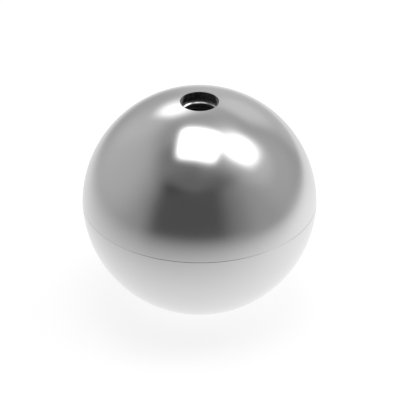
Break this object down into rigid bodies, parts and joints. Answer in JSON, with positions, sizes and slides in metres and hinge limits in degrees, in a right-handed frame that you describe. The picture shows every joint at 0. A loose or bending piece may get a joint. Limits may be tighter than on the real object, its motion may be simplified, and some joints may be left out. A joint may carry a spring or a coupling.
{
  "type": "steel ball",
  "caption": "Hollow polished steel ball of drawn half shells that meet at the equator, with a round hole at its pole over an inner threaded bush.",
  "frame": {"origin": "on the hole's axis, in the plane where the half shells meet, which is the middle of the ball", "axes": "+Z along the hole's axis and out of its mouth; the part is round about Z"},
  "size_m": [0.05, 0.05, 0.0487],
  "materials": {
    "polished_shell": "stainless steel, drawn and polished to a soft mirror",
    "turned_bush": "stainless steel, turned and tapped, not polished"
  },
  "bodies": {
    "root": {"upper_half_shell": "polished_shell", "lower_half_shell": "polished_shell", "threaded_bush": "turned_bush"}
  },
  "joints": []
}
